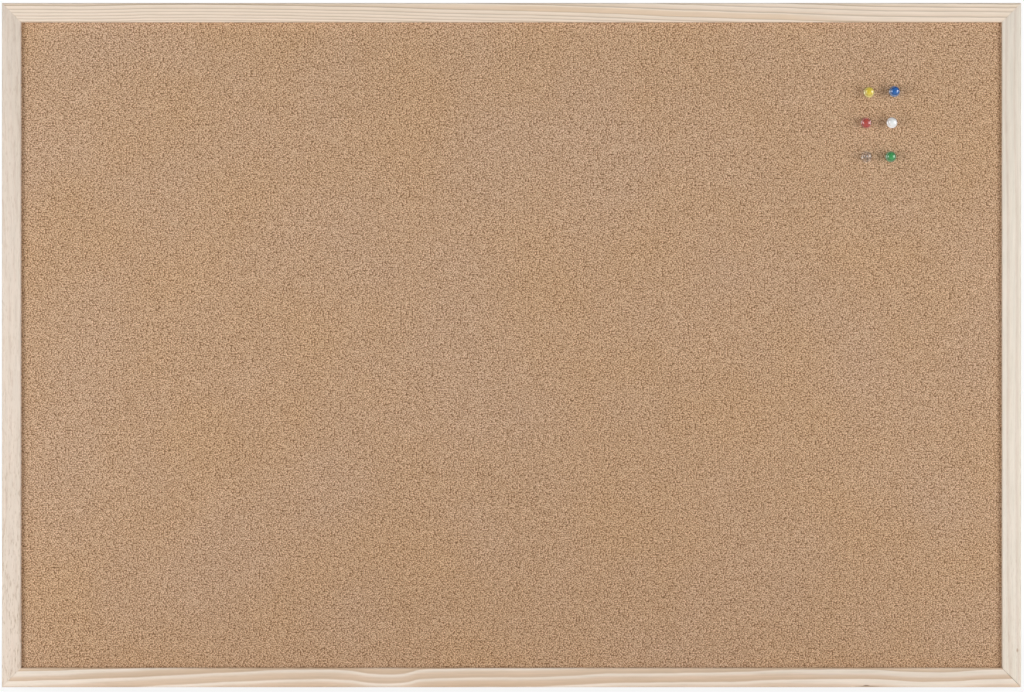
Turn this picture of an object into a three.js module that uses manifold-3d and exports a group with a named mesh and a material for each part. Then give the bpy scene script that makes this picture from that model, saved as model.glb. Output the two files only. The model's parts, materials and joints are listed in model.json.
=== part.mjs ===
// Cork pin board: four mitred pine mouldings hold a cork-faced fibreboard panel in a rebate.
// Six push pins stand in the cork, and two ring hangers are screwed to the back.
// Millimetres, +Z up. X runs along the board, the cork faces -Y and the back of the frame is y = 0.
import * as THREE from 'three';
import { mergeVertices } from 'three/addons/utils/BufferGeometryUtils.js';
import Module from 'manifold-3d';

const wasm = await Module();
wasm.setup();

// Outline of the board
const boardWidth = 900;
const boardHeight = 604;

// Frame moulding
const mouldingWidth = 17; // across the face
const rebateWidth = 6; // how far the front lip reaches over the panel
const lipThickness = 4.5; // front lip, from the face to the rebate
const outerRound = 1.6; // rounding of the outer front edge
const innerRound = 1.2; // rounding of the inner front edge
const backChamfer = 0.6; // eased outer edge at the back
const mitreGap = 0.3; // hairline left between two mitred ends
const mouldingArcSteps = 5;

// Panel: cork glued to a soft fibre core, with a hardboard back
const corkThickness = 2;
const coreThickness = 8;
const backingThickness = 2;
const glueLine = 0.2; // between two layers, and between the cork and the lip
const panelPlay = 0.6; // panel edge to rebate wall
const backRecess = 1.9; // back of the panel to the back of the frame

// V-nails that pull the mitres together, driven in from the back
const vNailsPerCorner = 2;
const vNailLeg = 4.2;
const vNailThickness = 0.6;
const vNailDepth = 7;
const vNailSeat = 0.4; // below the back of the frame

// Flexible steel points that hold the panel in the rebate
const pointsPerRail = 3;
const pointsPerStile = 2;
const pointLength = 14;
const pointWidth = 6;
const pointThickness = 0.5;
const pointBite = 6; // length driven into the rebate wall
const pointTip = 3;

// Ring hangers: a folded steel strap, a wire D-ring and one screw each
const hangerDrop = 120; // top of the frame to the ring's hinge line
const hangerEdgeMargin = 0.4; // outer edge of the frame to the ring
const strapWidth = 7;
const strapSheet = 0.8;
const strapSlit = 0.2; // between the two folded layers
const strapTail = 4; // screw centre to the end of the strap
const ringWire = 2.2; // wire diameter
const ringInnerWidth = 8.4;
const ringReach = 11; // hinge line to the middle of the wire's far arc
const ringBend = 1.5; // bend radius of the wire at the bar's ends
const ringButtGap = 0.3; // the wire's two ends meet inside the strap's loop
const ringPlay = 0.2; // ring bar to the strap's loop
const ringSides = 8;
const ringSteps = 44;
const screwHead = 5.4; // diameter
const screwHeadHeight = 1.8;
const screwHeadRim = 0.6; // straight edge under the dome
const screwShank = 2.8; // diameter
const screwLength = 12; // below the head
const screwPoint = 3;
const screwCross = 3.4; // span of the cross recess
const screwCrossWidth = 0.8;
const screwCrossDepth = 1;
const screwSides = 16;
const screwArcSteps = 5;
const screwToRing = 0.9; // screw head to the ring that hangs above it

// Push pins: a moulded head on a steel needle
const flangeRadius = 4.75;
const flangeThickness = 1.4;
const flangeSlope = 0.4; // radians, fall of the flange's top towards its rim
const shoulderHeight = 1.8; // where the flange's top would meet the waist
const waistRadius = 2.4;
const waistHeight = 4.6; // narrowest place above the cork
const capRadius = 3.8;
const capThickness = 2.4;
const capRound = 0.6; // rounding of the cap's two edges
const capDome = 0.8; // rise of the cap's top towards its middle
const headHeight = 12;
const needleRadius = 0.55;
const needleReach = 9.5; // below the flange
const needleEmbed = 8; // moulded into the head
const needlePoint = 2.5;
const pinSides = 18;
const pinArcSteps = 4;
// Hand-placed pins: distances from the right and top edges of the board, and leans in degrees
const pins = [
  { name: 'yellow', fromRight: 134.3, fromTop: 78.6, leanUp: 0.5, leanRight: -0.5, colour: 0xdcc43c },
  { name: 'blue', fromRight: 111.8, fromTop: 78.0, leanUp: -0.5, leanRight: -0.5, colour: 0x2463b8 },
  { name: 'red', fromRight: 136.8, fromTop: 105.7, leanUp: -4, leanRight: -3, colour: 0xbf443f },
  { name: 'white', fromRight: 114.0, fromTop: 105.6, leanUp: 0.5, leanRight: 0.5, colour: 0xeeeae4 },
  { name: 'clear', fromRight: 136.7, fromTop: 135.8, leanUp: 3, leanRight: 2, colour: 0xdcd8d2 },
  { name: 'green', fromRight: 115.0, fromTop: 135.6, leanUp: -0.5, leanRight: -1, colour: 0x3f9a58 },
];

// Clearances between pieces
const seat = 0.2; // a flat piece on what carries it
const driveGap = 0.3; // round a nail, point or screw in its hole
const needleGap = 0.15; // round a needle in the cork
const mouldGap = 0.1; // round a needle in its head
const through = 1; // a cutter's run past a surface

// Worked out from the sizes above
const panelThickness = corkThickness + coreThickness + backingThickness + 2 * glueLine;
const mouldingDepth = lipThickness + glueLine + panelThickness + backRecess;
const backWidth = mouldingWidth - rebateWidth; // wood between the outer edge and the rebate
const corkFace = -mouldingDepth + lipThickness + glueLine;
const loopInner = ringWire / 2 + ringPlay;
const loopOuter = loopInner + strapSheet;
const hingeHeight = seat + loopOuter; // hinge line above the back of the frame
const strapTop = seat + 2 * strapSheet + strapSlit;
const ringHalfWidth = (ringInnerWidth + ringWire) / 2; // to the middle of the wire
const hangerInset = hangerEdgeMargin + ringHalfWidth + ringWire / 2;
const screwDrop = ringReach + ringWire / 2 + screwToRing + screwHead / 2; // below the hinge line
// A hanging ring leans out far enough to lie on its strap.
const ringLean = Math.asin((strapTop + ringWire / 2 + driveGap - hingeHeight) / ringReach);

// Materials
const pine = new THREE.MeshStandardMaterial({ color: 0xe6d8c6, roughness: 0.6, metalness: 0 });
const cork = new THREE.MeshStandardMaterial({ color: 0xb8956f, roughness: 0.95, metalness: 0 });
const fibre = new THREE.MeshStandardMaterial({ color: 0x9c8463, roughness: 0.95, metalness: 0 });
const hardboard = new THREE.MeshStandardMaterial({ color: 0x7a5636, roughness: 0.8, metalness: 0 });
const steel = new THREE.MeshStandardMaterial({ color: 0xc4c6c8, roughness: 0.35, metalness: 1 });
const plastic = (colour) => new THREE.MeshStandardMaterial({ color: colour, roughness: 0.2, metalness: 0 });

// Solids for joining and cutting
function toSolid(geometry, matrix = new THREE.Matrix4()) {
  const bare = geometry.clone();
  bare.deleteAttribute('normal');
  bare.deleteAttribute('uv');
  bare.applyMatrix4(matrix);
  const merged = mergeVertices(bare);
  const vertProperties = merged.attributes.position.array;
  const triVerts = new Uint32Array(merged.index.array);
  return new wasm.Manifold(new wasm.Mesh({ numProp: 3, vertProperties, triVerts }));
}

function toGeometry(solid) {
  const { vertProperties, triVerts } = solid.getMesh();
  const geometry = new THREE.BufferGeometry();
  geometry.setAttribute('position', new THREE.BufferAttribute(vertProperties, 3));
  geometry.setIndex(new THREE.BufferAttribute(triVerts, 1));
  geometry.computeVertexNormals();
  return geometry;
}

const cutAll = (solid, cutters) => cutters.reduce((left, cutter) => left.subtract(cutter), solid);

function polygon(points) {
  return new THREE.Shape(points.map(([x, y]) => new THREE.Vector2(x, y)));
}

const prism = (shape, depth, curveSegments = 8) =>
  new THREE.ExtrudeGeometry(shape, { depth, curveSegments, bevelEnabled: false });

function addMesh(parent, name, geometry, material) {
  const mesh = new THREE.Mesh(geometry, material);
  mesh.name = name;
  parent.add(mesh);
  return mesh;
}

// The four sides are built as the top one and turned round the board's centre.
// A side's own axes: x across the moulding from the outer edge, y from the back to the front,
// z along the moulding from its first mitred corner.
const sides = [
  { name: 'top_rail', corner: 'top_right', turn: 0 },
  { name: 'right_stile', corner: 'bottom_right', turn: 1 },
  { name: 'bottom_rail', corner: 'bottom_left', turn: 2 },
  { name: 'left_stile', corner: 'top_left', turn: 3 },
];
const isStile = (side) => side.turn % 2 === 1;
const sideLength = (side) => (isStile(side) ? boardHeight : boardWidth);

function sideGroup(side) {
  const turned = new THREE.Group();
  turned.rotation.y = (side.turn * Math.PI) / 2;
  const placed = new THREE.Group();
  const across = new THREE.Vector3(0, 0, -1);
  const forward = new THREE.Vector3(0, -1, 0);
  const along = new THREE.Vector3(-1, 0, 0);
  placed.quaternion.setFromRotationMatrix(new THREE.Matrix4().makeBasis(across, forward, along));
  placed.position.set(sideLength(side) / 2, 0, (isStile(side) ? boardWidth : boardHeight) / 2);
  turned.add(placed);
  board.add(turned);
  return placed;
}

// Turns a plan outline, drawn as (along, across) and extruded towards the front, into a side's axes.
const planToSide = new THREE.Matrix4().makeBasis(
  new THREE.Vector3(0, 0, 1),
  new THREE.Vector3(1, 0, 0),
  new THREE.Vector3(0, 1, 0),
);
const liftedPlan = (height) => new THREE.Matrix4().makeTranslation(0, height, 0).multiply(planToSide);

// Cross-section of the moulding: a rebate behind a lip, with rounded front edges
function mouldingProfile() {
  const rebateFloor = mouldingDepth - lipThickness;
  const profile = new THREE.Shape();
  profile.moveTo(backChamfer, 0);
  profile.lineTo(backWidth, 0);
  profile.lineTo(backWidth, rebateFloor);
  profile.lineTo(mouldingWidth, rebateFloor);
  profile.lineTo(mouldingWidth, mouldingDepth - innerRound);
  profile.absarc(mouldingWidth - innerRound, mouldingDepth - innerRound, innerRound, 0, Math.PI / 2);
  profile.lineTo(outerRound, mouldingDepth);
  profile.absarc(outerRound, mouldingDepth - outerRound, outerRound, Math.PI / 2, Math.PI);
  profile.lineTo(0, backChamfer);
  return profile;
}

// A length of moulding with both ends cut back to the mitre
function mouldingLength(length) {
  const geometry = prism(mouldingProfile(), length, mouldingArcSteps);
  const place = geometry.attributes.position;
  for (let i = 0; i < place.count; i += 1) {
    const cutBack = place.getX(i) + mitreGap / Math.SQRT2;
    const end = place.getZ(i);
    place.setZ(i, end > length / 2 ? end - cutBack : end + cutBack);
  }
  return geometry;
}

// V-nail in plan, one leg in each of the two mouldings that meet at the corner
const vNailPlaces = Array.from(
  { length: vNailsPerCorner },
  (_, i) => (backWidth * (i + 1)) / (vNailsPerCorner + 1),
);

function vNailOutline(apex, grow, fromEnd) {
  const half = vNailThickness / 2 + grow;
  const low = apex - half;
  const high = apex + half;
  const tip = apex + vNailLeg + grow;
  const corners = [[low, low], [tip, low], [tip, high], [high, high], [high, tip], [low, tip]];
  return polygon(corners.map(([along, across]) => [fromEnd(along), across]));
}

function vNailCutters(length) {
  const depth = through + vNailSeat + vNailDepth + driveGap;
  const ends = [(along) => along, (along) => length - along];
  return ends.flatMap((fromEnd) =>
    vNailPlaces.map((apex) =>
      toSolid(prism(vNailOutline(apex, driveGap, fromEnd), depth), liftedPlan(-through))));
}

function addVNails(side, group) {
  vNailPlaces.forEach((apex, i) => {
    const geometry = prism(vNailOutline(apex, 0, (along) => along), vNailDepth);
    geometry.applyMatrix4(liftedPlan(vNailSeat));
    addMesh(group, `v_nail_${side.corner}_${i + 1}`, geometry, steel);
  });
}

// Framer's point in plan: a flat tab with a sharpened end in the rebate wall
function pointOutline(centre, grow) {
  const half = pointWidth / 2 + grow;
  const tip = backWidth - pointBite - grow;
  const shoulder = tip + pointTip;
  const end = backWidth - pointBite + pointLength + grow;
  return polygon([
    [centre, tip], [centre + half, shoulder], [centre + half, end],
    [centre - half, end], [centre - half, shoulder],
  ]);
}

function pointPlaces(side) {
  const count = isStile(side) ? pointsPerStile : pointsPerRail;
  return Array.from({ length: count }, (_, i) => (sideLength(side) * (i + 1)) / (count + 1));
}
const pointHeight = backRecess - seat - pointThickness; // above the back of the frame

function pointCutters(side) {
  const depth = pointThickness + 2 * driveGap;
  return pointPlaces(side).map((centre) =>
    toSolid(prism(pointOutline(centre, driveGap), depth), liftedPlan(pointHeight - driveGap)));
}

function addPoints(side, group) {
  pointPlaces(side).forEach((centre, i) => {
    const geometry = prism(pointOutline(centre, 0), pointThickness);
    geometry.applyMatrix4(liftedPlan(pointHeight));
    addMesh(group, `panel_point_${side.name}_${i + 1}`, geometry, steel);
  });
}

// Wood screw on the +Y axis: y = 0 is under the head
function screwProfile(grow) {
  const profile = new THREE.Path();
  profile.moveTo(0, -screwLength - grow);
  profile.lineTo(screwShank / 2 + grow, -screwLength + screwPoint - grow);
  profile.lineTo(screwShank / 2 + grow, 0);
  return profile;
}

function screwGeometry() {
  const profile = screwProfile(0);
  profile.lineTo(screwHead / 2, 0);
  profile.lineTo(screwHead / 2, screwHeadRim);
  profile.quadraticCurveTo(screwHead / 2, screwHeadHeight, 0, screwHeadHeight);
  const body = toSolid(new THREE.LatheGeometry(profile.getPoints(screwArcSteps), screwSides));
  const bars = [[screwCross, screwCrossWidth], [screwCrossWidth, screwCross]].map(([width, depth]) =>
    toSolid(new THREE.BoxGeometry(width, 2 * screwCrossDepth, depth),
      new THREE.Matrix4().makeTranslation(0, screwHeadHeight, 0)));
  return toGeometry(cutAll(body, bars));
}

// Hole for a screw whose head rests at the given height above the back of the frame
function screwCutter(matrix) {
  const profile = screwProfile(driveGap);
  profile.lineTo(screwShank / 2 + driveGap, through + screwLength);
  profile.lineTo(0, through + screwLength);
  return toSolid(new THREE.LatheGeometry(profile.getPoints(1), screwSides), matrix);
}
const screwSeat = strapTop + seat;

// In a stile's own axes the back of the frame faces -y, so the screw is turned over.
function stileScrewCutters(side) {
  if (!isStile(side)) return [];
  const fromTop = hangerDrop + screwDrop;
  const along = side.name === 'left_stile' ? fromTop : boardHeight - fromTop;
  const matrix = new THREE.Matrix4().makeRotationX(Math.PI).setPosition(hangerInset, -screwSeat, along);
  return [screwCutter(matrix)];
}

function addSide(side) {
  const group = sideGroup(side);
  const length = sideLength(side);
  const cutters = [...vNailCutters(length), ...pointCutters(side), ...stileScrewCutters(side)];
  const wood = cutAll(toSolid(mouldingLength(length)), cutters);
  addMesh(group, side.name, toGeometry(wood), pine);
  addVNails(side, group);
  addPoints(side, group);
}

// Needle on the +Y axis, pointing down: y = 0 is the underside of the pin's flange
function needleGeometry(grow, top) {
  const radius = needleRadius + grow;
  const profile = new THREE.Path();
  profile.moveTo(0, -needleReach - grow);
  profile.lineTo(radius, -needleReach + needlePoint - grow);
  profile.lineTo(radius, top);
  profile.lineTo(0, top);
  return new THREE.LatheGeometry(profile.getPoints(1), pinSides / 2);
}

// Moulded head: a wide flange on the cork, a waist for the fingers and a cap to push on
function headGeometry() {
  const bore = needleRadius + mouldGap;
  const rim = flangeThickness / 2;
  const capUnder = headHeight - capThickness;
  const domeRadius = capRadius - capRound;
  const domeFoot = headHeight - capDome;
  const capEdge = domeFoot - (2 * capDome * capRound) / domeRadius; // the dome's slope at the cap's side
  const profile = new THREE.Path();
  profile.moveTo(0, needleEmbed + mouldGap);
  profile.lineTo(bore, needleEmbed + mouldGap);
  profile.lineTo(bore, 0);
  profile.lineTo(flangeRadius - rim, 0);
  profile.absarc(flangeRadius - rim, rim, rim, -Math.PI / 2, Math.PI / 2 - flangeSlope);
  profile.quadraticCurveTo(waistRadius, shoulderHeight, waistRadius, waistHeight);
  profile.quadraticCurveTo(waistRadius, capUnder, capRadius, capUnder + capRound);
  profile.lineTo(capRadius, capEdge - capRound);
  profile.quadraticCurveTo(capRadius, capEdge, domeRadius, domeFoot);
  profile.quadraticCurveTo(domeRadius / 2, headHeight, 0, headHeight);
  return new THREE.LatheGeometry(profile.getPoints(pinArcSteps), pinSides);
}

// A pin's own +Y axis leaves the cork; a leaning flange is lifted so that its low edge clears the cork.
function pinMatrix(pin) {
  const leanUp = THREE.MathUtils.degToRad(pin.leanUp);
  const leanRight = THREE.MathUtils.degToRad(pin.leanRight);
  const lift = seat + flangeRadius * Math.hypot(Math.sin(leanUp), Math.sin(leanRight));
  const turn = new THREE.Euler(Math.PI - leanUp, 0, -leanRight);
  const place = [boardWidth / 2 - pin.fromRight, corkFace - lift, boardHeight / 2 - pin.fromTop];
  return new THREE.Matrix4().makeRotationFromEuler(turn).setPosition(...place);
}

function addPin(pin) {
  const group = new THREE.Group();
  group.applyMatrix4(pinMatrix(pin));
  addMesh(group, `${pin.name}_pin_head`, headGeometry(), plastic(pin.colour));
  addMesh(group, `${pin.name}_pin_needle`, needleGeometry(0, needleEmbed), steel);
  board.add(group);
}

// One sheet of the panel, with the holes that the pins have made
function addSheet(name, front, thickness, material) {
  const fit = 2 * (backWidth + panelPlay);
  const slab = new THREE.BoxGeometry(boardWidth - fit, thickness, boardHeight - fit);
  const holes = pins.map((pin) => toSolid(needleGeometry(needleGap, headHeight), pinMatrix(pin)));
  const placed = new THREE.Matrix4().makeTranslation(0, front + thickness / 2, 0);
  addMesh(board, name, toGeometry(cutAll(toSolid(slab, placed), holes)), material);
}

function addPanel() {
  const coreFront = corkFace + corkThickness + glueLine;
  const backingFront = coreFront + coreThickness + glueLine;
  addSheet('cork_sheet', corkFace, corkThickness, cork);
  addSheet('fibre_core', coreFront, coreThickness, fibre);
  addSheet('hardboard_back', backingFront, backingThickness, hardboard);
}

// Strap seen from its side: (away from the wood, up), hinge line at the loop's centre
function strapSection() {
  const tail = -screwDrop - strapTail;
  const upperUnder = seat + strapSheet + strapSlit;
  const outerMeet = Math.acos((strapTop - hingeHeight) / loopOuter);
  const innerMeet = Math.acos((upperUnder - hingeHeight) / loopInner);
  const section = new THREE.Shape();
  section.moveTo(seat, tail);
  section.lineTo(seat + strapSheet, tail);
  section.lineTo(seat + strapSheet, 0);
  section.absarc(hingeHeight, 0, loopInner, Math.PI, -innerMeet, true);
  section.lineTo(upperUnder, tail);
  section.lineTo(strapTop, tail);
  section.absarc(hingeHeight, 0, loopOuter, -outerMeet, Math.PI, false);
  return section;
}

// Strap seen from behind: straight sides and a rounded tail
function strapOutline() {
  const half = strapWidth / 2;
  const tailCentre = -screwDrop - strapTail + half;
  const outline = new THREE.Shape();
  outline.moveTo(half, loopOuter + through);
  outline.lineTo(-half, loopOuter + through);
  outline.lineTo(-half, tailCentre);
  outline.absarc(0, tailCentre, half, Math.PI, 2 * Math.PI);
  return outline;
}

function strapGeometry() {
  const sectionAxes = new THREE.Matrix4().makeBasis(
    new THREE.Vector3(0, 1, 0),
    new THREE.Vector3(0, 0, 1),
    new THREE.Vector3(1, 0, 0),
  );
  const folded = toSolid(
    prism(strapSection(), strapWidth + 2 * through),
    sectionAxes.setPosition(-strapWidth / 2 - through, 0, 0),
  );
  const outlineAxes = new THREE.Matrix4().makeBasis(
    new THREE.Vector3(-1, 0, 0),
    new THREE.Vector3(0, 0, 1),
    new THREE.Vector3(0, 1, 0),
  );
  const trim = toSolid(
    prism(strapOutline(), 2 * loopOuter + 2 * through),
    outlineAxes.setPosition(0, seat - through, 0),
  );
  const hole = screwCutter(new THREE.Matrix4().makeTranslation(0, screwSeat, -screwDrop));
  return toGeometry(folded.intersect(trim).subtract(hole));
}

// The ring's wire: from the butt joint in the bar, round the D and back
function ringCurve() {
  const side = ringHalfWidth;
  const arcStart = side - ringReach; // where the round end begins
  const handle = ((4 / 3) * (Math.SQRT2 - 1)) * side; // of a quarter circle's curve
  const at = (x, z) => new THREE.Vector3(x, 0, z);
  const end = at(0, -ringReach);
  const wire = new THREE.CurvePath();
  wire.add(new THREE.LineCurve3(at(ringButtGap / 2, 0), at(side - ringBend, 0)));
  wire.add(new THREE.QuadraticBezierCurve3(at(side - ringBend, 0), at(side, 0), at(side, -ringBend)));
  wire.add(new THREE.LineCurve3(at(side, -ringBend), at(side, arcStart)));
  wire.add(new THREE.CubicBezierCurve3(
    at(side, arcStart), at(side, arcStart - handle), at(handle, -ringReach), end));
  wire.add(new THREE.CubicBezierCurve3(
    end, at(-handle, -ringReach), at(-side, arcStart - handle), at(-side, arcStart)));
  wire.add(new THREE.LineCurve3(at(-side, arcStart), at(-side, -ringBend)));
  wire.add(new THREE.QuadraticBezierCurve3(at(-side, -ringBend), at(-side, 0), at(ringBend - side, 0)));
  wire.add(new THREE.LineCurve3(at(ringBend - side, 0), at(-ringButtGap / 2, 0)));
  return wire;
}

function ringGeometry() {
  const wireSection = new THREE.Shape();
  wireSection.absarc(0, 0, ringWire / 2, 0, 2 * Math.PI);
  const options = { extrudePath: ringCurve(), steps: ringSteps, curveSegments: ringSides };
  return new THREE.ExtrudeGeometry(wireSection, options);
}

function addHanger(name, sideways) {
  const group = new THREE.Group();
  group.position.set(sideways * (boardWidth / 2 - hangerInset), 0, boardHeight / 2 - hangerDrop);
  addMesh(group, `${name}_hanger_strap`, strapGeometry(), steel);
  const ring = addMesh(group, `${name}_hanger_ring`, ringGeometry(), steel);
  ring.position.y = hingeHeight;
  ring.rotation.x = ringLean;
  const screw = addMesh(group, `${name}_hanger_screw`, screwGeometry(), steel);
  screw.position.set(0, screwSeat, -screwDrop);
  board.add(group);
}

const board = new THREE.Group();
board.name = 'cork_pin_board';
sides.forEach(addSide);
addPanel();
pins.forEach(addPin);
addHanger('left', -1);
addHanger('right', 1);

export default board;
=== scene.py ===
import json
import math

import bpy
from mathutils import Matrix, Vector

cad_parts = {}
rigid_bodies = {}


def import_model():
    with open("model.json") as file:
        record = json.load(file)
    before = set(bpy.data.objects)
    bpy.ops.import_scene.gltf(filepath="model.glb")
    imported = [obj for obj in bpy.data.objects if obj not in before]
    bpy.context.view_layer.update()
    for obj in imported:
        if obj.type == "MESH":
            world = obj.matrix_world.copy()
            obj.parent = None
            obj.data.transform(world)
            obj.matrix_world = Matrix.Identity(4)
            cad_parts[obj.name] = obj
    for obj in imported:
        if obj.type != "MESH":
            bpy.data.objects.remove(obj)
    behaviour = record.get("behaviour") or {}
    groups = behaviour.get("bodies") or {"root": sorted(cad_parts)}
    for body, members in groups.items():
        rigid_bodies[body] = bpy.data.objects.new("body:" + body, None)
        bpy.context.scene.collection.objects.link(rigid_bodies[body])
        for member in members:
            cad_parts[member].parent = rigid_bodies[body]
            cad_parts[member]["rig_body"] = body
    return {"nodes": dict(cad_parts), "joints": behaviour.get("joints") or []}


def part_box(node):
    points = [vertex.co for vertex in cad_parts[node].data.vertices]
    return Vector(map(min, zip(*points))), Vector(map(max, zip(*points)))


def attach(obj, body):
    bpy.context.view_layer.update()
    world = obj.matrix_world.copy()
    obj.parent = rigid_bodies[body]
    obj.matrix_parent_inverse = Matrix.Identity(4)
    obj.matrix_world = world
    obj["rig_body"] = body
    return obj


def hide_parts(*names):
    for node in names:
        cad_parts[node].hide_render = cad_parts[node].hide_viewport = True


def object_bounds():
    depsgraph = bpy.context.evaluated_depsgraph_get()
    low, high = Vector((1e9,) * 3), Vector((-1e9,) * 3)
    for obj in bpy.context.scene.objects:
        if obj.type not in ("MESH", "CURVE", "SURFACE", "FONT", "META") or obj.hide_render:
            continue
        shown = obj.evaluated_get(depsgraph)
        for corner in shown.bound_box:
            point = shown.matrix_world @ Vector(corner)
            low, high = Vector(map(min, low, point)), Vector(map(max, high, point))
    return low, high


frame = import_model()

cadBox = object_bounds()  # the CAD model's own box
mm = 0.001
weld = 1e-6  # points closer than this become one
near = 1e-5  # an edge this close to a place lies there
print("frame loaded:", len(frame["nodes"]), "nodes")


# modelling, as by hand

def rest():
    if bpy.context.object and bpy.context.object.mode != "OBJECT":
        bpy.ops.object.mode_set(mode="OBJECT")
    bpy.ops.object.select_all(action="DESELECT")


def work(piece):
    rest()
    piece.select_set(True)
    bpy.context.view_layer.objects.active = piece


def edit(piece, kind="VERT"):
    work(piece)
    bpy.context.tool_settings.mesh_select_mode = (kind == "VERT", kind == "EDGE", kind == "FACE")
    bpy.ops.object.mode_set(mode="EDIT")


def pick(piece, kind, test):  # selects edges or faces by their middle and direction
    rest()
    mesh = piece.data
    for items in (mesh.vertices, mesh.edges, mesh.polygons):
        items.foreach_set("select", [False] * len(items))
    if kind == "FACE":
        for face in mesh.polygons:
            face.select = test(face.center, face.normal)
    else:
        for edge in mesh.edges:
            start, end = (mesh.vertices[i].co for i in edge.vertices)
            edge.select = test((start + end) / 2, (end - start).normalized())
    edit(piece, kind)


def settle(piece):  # its place goes into the mesh
    work(piece)
    bpy.ops.object.transform_apply(location=True, rotation=True, scale=True)


def startBox(name, low, high):  # a cube that fills the space between two corners
    rest()
    low, high = Vector(low), Vector(high)
    bpy.ops.mesh.primitive_cube_add(size=1, location=(low + high) / 2)
    box = bpy.context.object
    box.name = name
    box.scale = high - low
    settle(box)
    return box


def startRod(name, centre, radius, length, sides=32):  # a cylinder along Y
    rest()
    bpy.ops.mesh.primitive_cylinder_add(
        vertices=sides, radius=radius, depth=length, location=centre, rotation=(math.pi / 2, 0, 0))
    rod = bpy.context.object
    rod.name = name
    settle(rod)
    return rod


def drawOutline(name, points):  # a plane merged to one vertex, then extruded from point to point
    rest()
    bpy.ops.mesh.primitive_plane_add(size=mm, location=points[0])
    piece = bpy.context.object
    piece.name = name
    settle(piece)
    edit(piece)
    bpy.ops.mesh.select_all(action="SELECT")
    bpy.ops.mesh.merge(type="CENTER")
    for last, point in zip(points, points[1:]):
        bpy.ops.mesh.extrude_region_move(TRANSFORM_OT_translate={"value": Vector(point) - Vector(last)})
    return piece


def tidyMesh(piece):
    edit(piece)
    bpy.ops.mesh.select_all(action="SELECT")
    bpy.ops.mesh.remove_doubles(threshold=weld)
    bpy.ops.mesh.normals_make_consistent(inside=False)
    rest()


def turnedPiece(name, profile, steps):  # profile of (radius, height) in millimetres, turned round Z
    piece = drawOutline(name, [(radius * mm, 0, height * mm) for radius, height in profile])
    bpy.ops.mesh.select_all(action="SELECT")
    bpy.ops.mesh.spin(steps=steps, angle=2 * math.pi, center=(0, 0, 0), axis=(0, 0, 1))
    tidyMesh(piece)
    return piece


def arc(centre, radius, start, end, steps):  # points on a circle, angles in degrees
    angles = [math.radians(start + (end - start) * i / steps) for i in range(steps + 1)]
    return [(centre[0] + radius * math.cos(a), centre[1] + radius * math.sin(a)) for a in angles]


def bow(start, handle, end, steps):  # points on a quadratic curve
    points = []
    for i in range(steps + 1):
        t = i / steps
        points.append(tuple((1 - t) ** 2 * s + 2 * t * (1 - t) * h + t * t * e
                            for s, h, e in zip(start, handle, end)))
    return points


def combine(piece, other, operation="DIFFERENCE"):
    work(piece)
    change = piece.modifiers.new("cut", "BOOLEAN")
    change.object = other
    change.operation = operation
    change.solver = "EXACT"
    bpy.ops.object.modifier_apply(modifier=change.name)
    bpy.data.objects.remove(other)


def softenEdges(piece, width, angle=40, steps=2):
    work(piece)
    bevel = piece.modifiers.new("arris", "BEVEL")
    bevel.width = width
    bevel.segments = steps
    bevel.limit_method = "ANGLE"
    bevel.angle_limit = math.radians(angle)
    bpy.ops.object.modifier_apply(modifier=bevel.name)


def smooth(piece, angle=35):
    work(piece)
    bpy.ops.object.shade_smooth_by_angle(angle=math.radians(angle))


def twin(model, name):  # a copy with its own mesh
    work(model)
    bpy.ops.object.duplicate()
    piece = bpy.context.object
    piece.name = name
    return piece


def dress(piece, finish):
    piece.data.materials.clear()
    piece.data.materials.append(finish)


def standFor(piece, node, finish):  # a finished piece takes over from its CAD node
    dress(piece, finish)
    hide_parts(node)
    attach(piece, frame["nodes"][node]["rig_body"])


# mixing finishes

def seen(red, green, blue):  # a colour as it looks on screen, in the shader's own values
    shares = [level / 255 for level in (red, green, blue)]
    return tuple(s / 12.92 if s <= 0.04045 else ((s + 0.055) / 1.055) ** 2.4 for s in shares)


def newFinish(name):
    finish = bpy.data.materials.new(name)
    finish.use_nodes = True
    return finish, finish.node_tree, finish.node_tree.nodes["Principled BSDF"]


def feed(tree, socket, value):
    if isinstance(value, bpy.types.NodeSocket):
        tree.links.new(value, socket)
    else:
        socket.default_value = value


def add(tree, kind, inputs=None, **options):
    node = tree.nodes.new("ShaderNode" + kind)
    for key, value in options.items():
        setattr(node, key, value)
    for key, value in (inputs or {}).items():
        feed(tree, node.inputs[key], value)
    return node


def calc(tree, operation, *values):
    node = add(tree, "Math", operation=operation)
    for socket, value in zip(node.inputs, values):
        feed(tree, socket, value)
    return node.outputs[0]


def blend(tree, factor, first, second, mode="MIX"):
    node = add(tree, "Mix", {0: factor, 6: first, 7: second}, data_type="RGBA", blend_type=mode)
    return node.outputs[2]


def ramp(tree, factor, stops):  # stops of (position, colour or grey)
    node = add(tree, "ValToRGB", {"Fac": factor})
    elements = node.color_ramp.elements
    while len(elements) < len(stops):
        elements.new(0.5)
    for element, (position, colour) in zip(elements, stops):
        element.position = position
        element.color = (*colour, 1) if isinstance(colour, tuple) else (colour, colour, colour, 1)
    return node.outputs["Color"]


def tint(tree, colour, factor, stops):  # a pattern that darkens or lightens a colour
    return blend(tree, 1.0, colour, ramp(tree, factor, stops), "MULTIPLY")


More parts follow.
